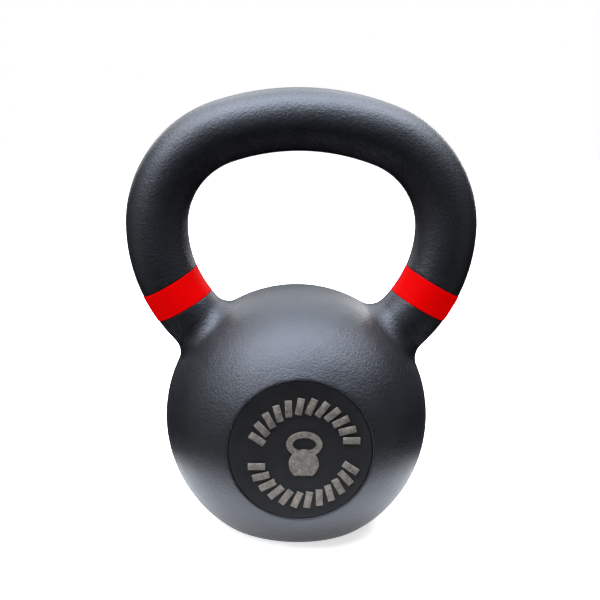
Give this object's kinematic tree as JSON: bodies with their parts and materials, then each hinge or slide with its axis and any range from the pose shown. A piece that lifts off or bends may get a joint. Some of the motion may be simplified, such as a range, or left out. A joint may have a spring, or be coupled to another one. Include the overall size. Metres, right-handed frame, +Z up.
{
  "type": "kettlebell",
  "caption": "Cast iron kettlebell: a ball with a flat foot, horns and a looped handle in one casting, colour bands round the horns and a round badge on each face.",
  "frame": {"origin": "centre of the flat foot, on the floor the kettlebell stands on", "axes": "+Z up through the ball to the grip, X along the grip, -Y out of the front badge; the handle lies in the XZ plane"},
  "size_m": [0.2034, 0.1338, 0.2559],
  "materials": {
    "powder_coat": "black powder coat, satin, with a fine orange-peel texture",
    "red_band": "flat saturated red vinyl strip",
    "badge_black": "matte black moulding with worn grey raised marks"
  },
  "bodies": {
    "root": {"cast_body": "powder_coat", "left_colour_band": "red_band", "right_colour_band": "red_band", "front_badge": "badge_black", "back_badge": "badge_black"}
  },
  "joints": []
}
